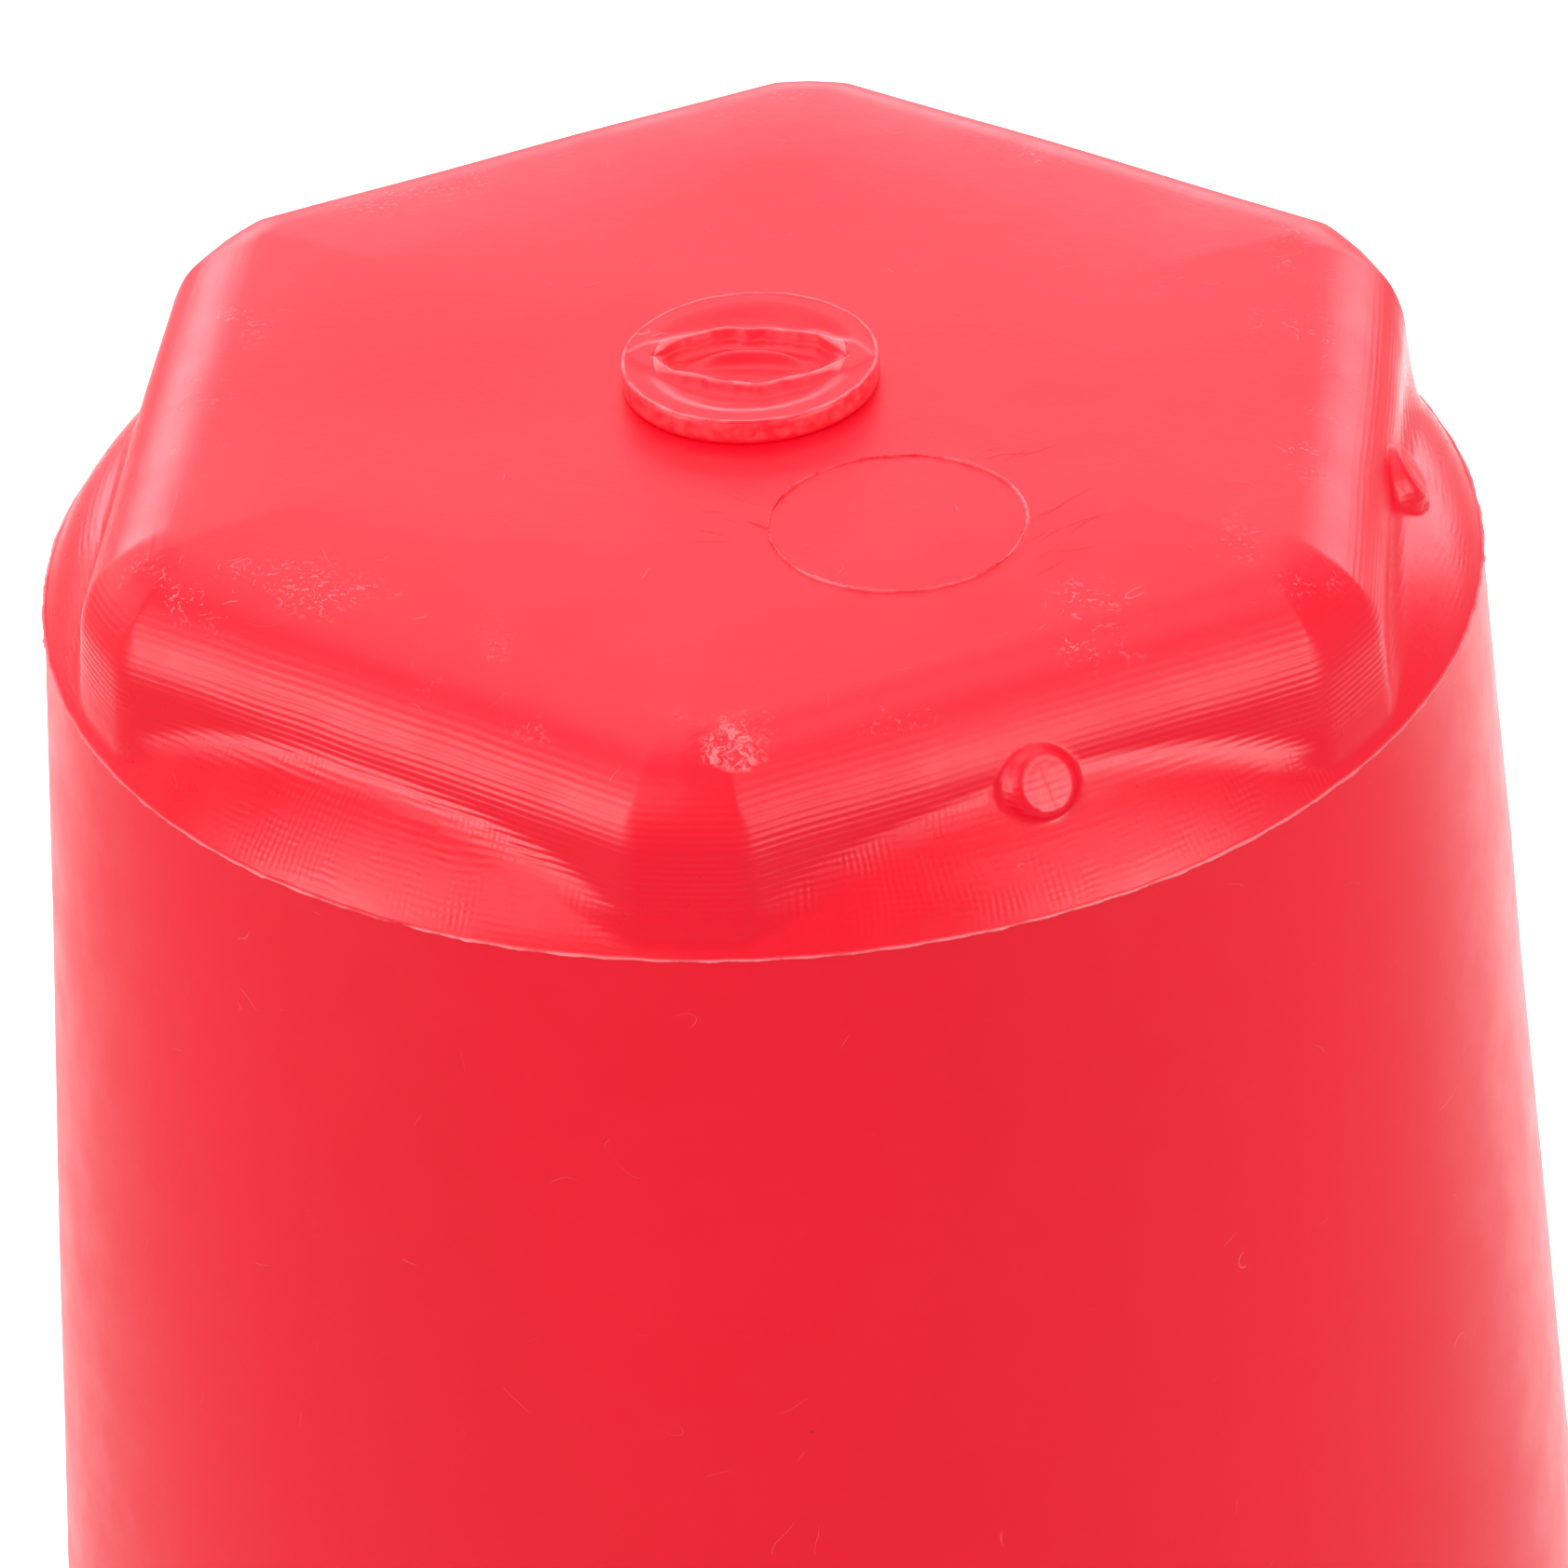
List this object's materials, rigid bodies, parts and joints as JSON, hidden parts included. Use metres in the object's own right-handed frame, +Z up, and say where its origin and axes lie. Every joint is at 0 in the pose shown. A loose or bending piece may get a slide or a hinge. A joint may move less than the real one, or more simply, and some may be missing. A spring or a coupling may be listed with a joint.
{
  "type": "water filled barrier",
  "caption": "Red hollow plastic water filled barrier post: hexagonal head with a push-in fill plug, tapered round column, link collar and wide hexagonal foot with a drain plug.",
  "frame": {"origin": "on the floor under the column's axis, at the underside of the foot pads", "axes": "+Z up along the column's axis, one corner of the hexagonal head and foot points along -Y, the drain faces +X"},
  "size_m": [0.42, 0.4726, 0.826],
  "materials": {
    "red_plastic": "satin rotomoulded polyethylene",
    "plug_plastic": "satin moulded polyethylene",
    "black_rubber": "matt rubber",
    "brass": "turned brass",
    "black_plastic": "moulded black plastic",
    "reflective_film": "white prismatic film",
    "zinc_steel": "zinc plated steel",
    "grey_rubber": "moulded rubber"
  },
  "bodies": {
    "tank": {"body_shell": "red_plastic", "fill_seal": "black_rubber", "drain_bush": "brass", "reflective_band_upper": "reflective_film", "reflective_band_lower": "reflective_film", "foot_inserts": "brass", "foot_pads": "grey_rubber", "foot_washers": "zinc_steel", "foot_screws": "zinc_steel"},
    "plug": {"fill_plug": "plug_plastic"},
    "drain_seal": {"drain_washer": "black_rubber"},
    "drain_screw": {"drain_plug": "black_plastic"},
    "collar_seat": {"collar_liner": "grey_rubber"},
    "collar": {"link_collar": "black_plastic", "link_eyes": "zinc_steel", "eye_rivets": "zinc_steel"}
  },
  "joints": [
    {"name": "plug_pull", "type": "slide", "parent": "tank", "child": "plug", "axis": [0, 0, 1], "range_m": [0, 0.06]},
    {"name": "drain_travel", "type": "slide", "parent": "tank", "child": "drain_seal", "axis": [1, 0, 0], "range_m": [0, 0.014]},
    {"name": "drain_turn", "type": "hinge", "parent": "drain_seal", "child": "drain_screw", "pos_m": [0.198, 0, 0.035], "axis": [1, 0, 0], "range_deg": [0, 1680]},
    {"name": "collar_lift", "type": "slide", "parent": "tank", "child": "collar_seat", "axis": [0, 0, 1], "range_m": [0, 0.3]},
    {"name": "collar_swivel", "type": "hinge", "parent": "collar_seat", "child": "collar", "pos_m": [0, 0, 0.6], "axis": [0, 0, 1], "continuous": true}
  ],
  "couplings": [
    {"joint": "drain_travel", "follows": "drain_turn", "m_per_rad": 0.00047746}
  ]
}
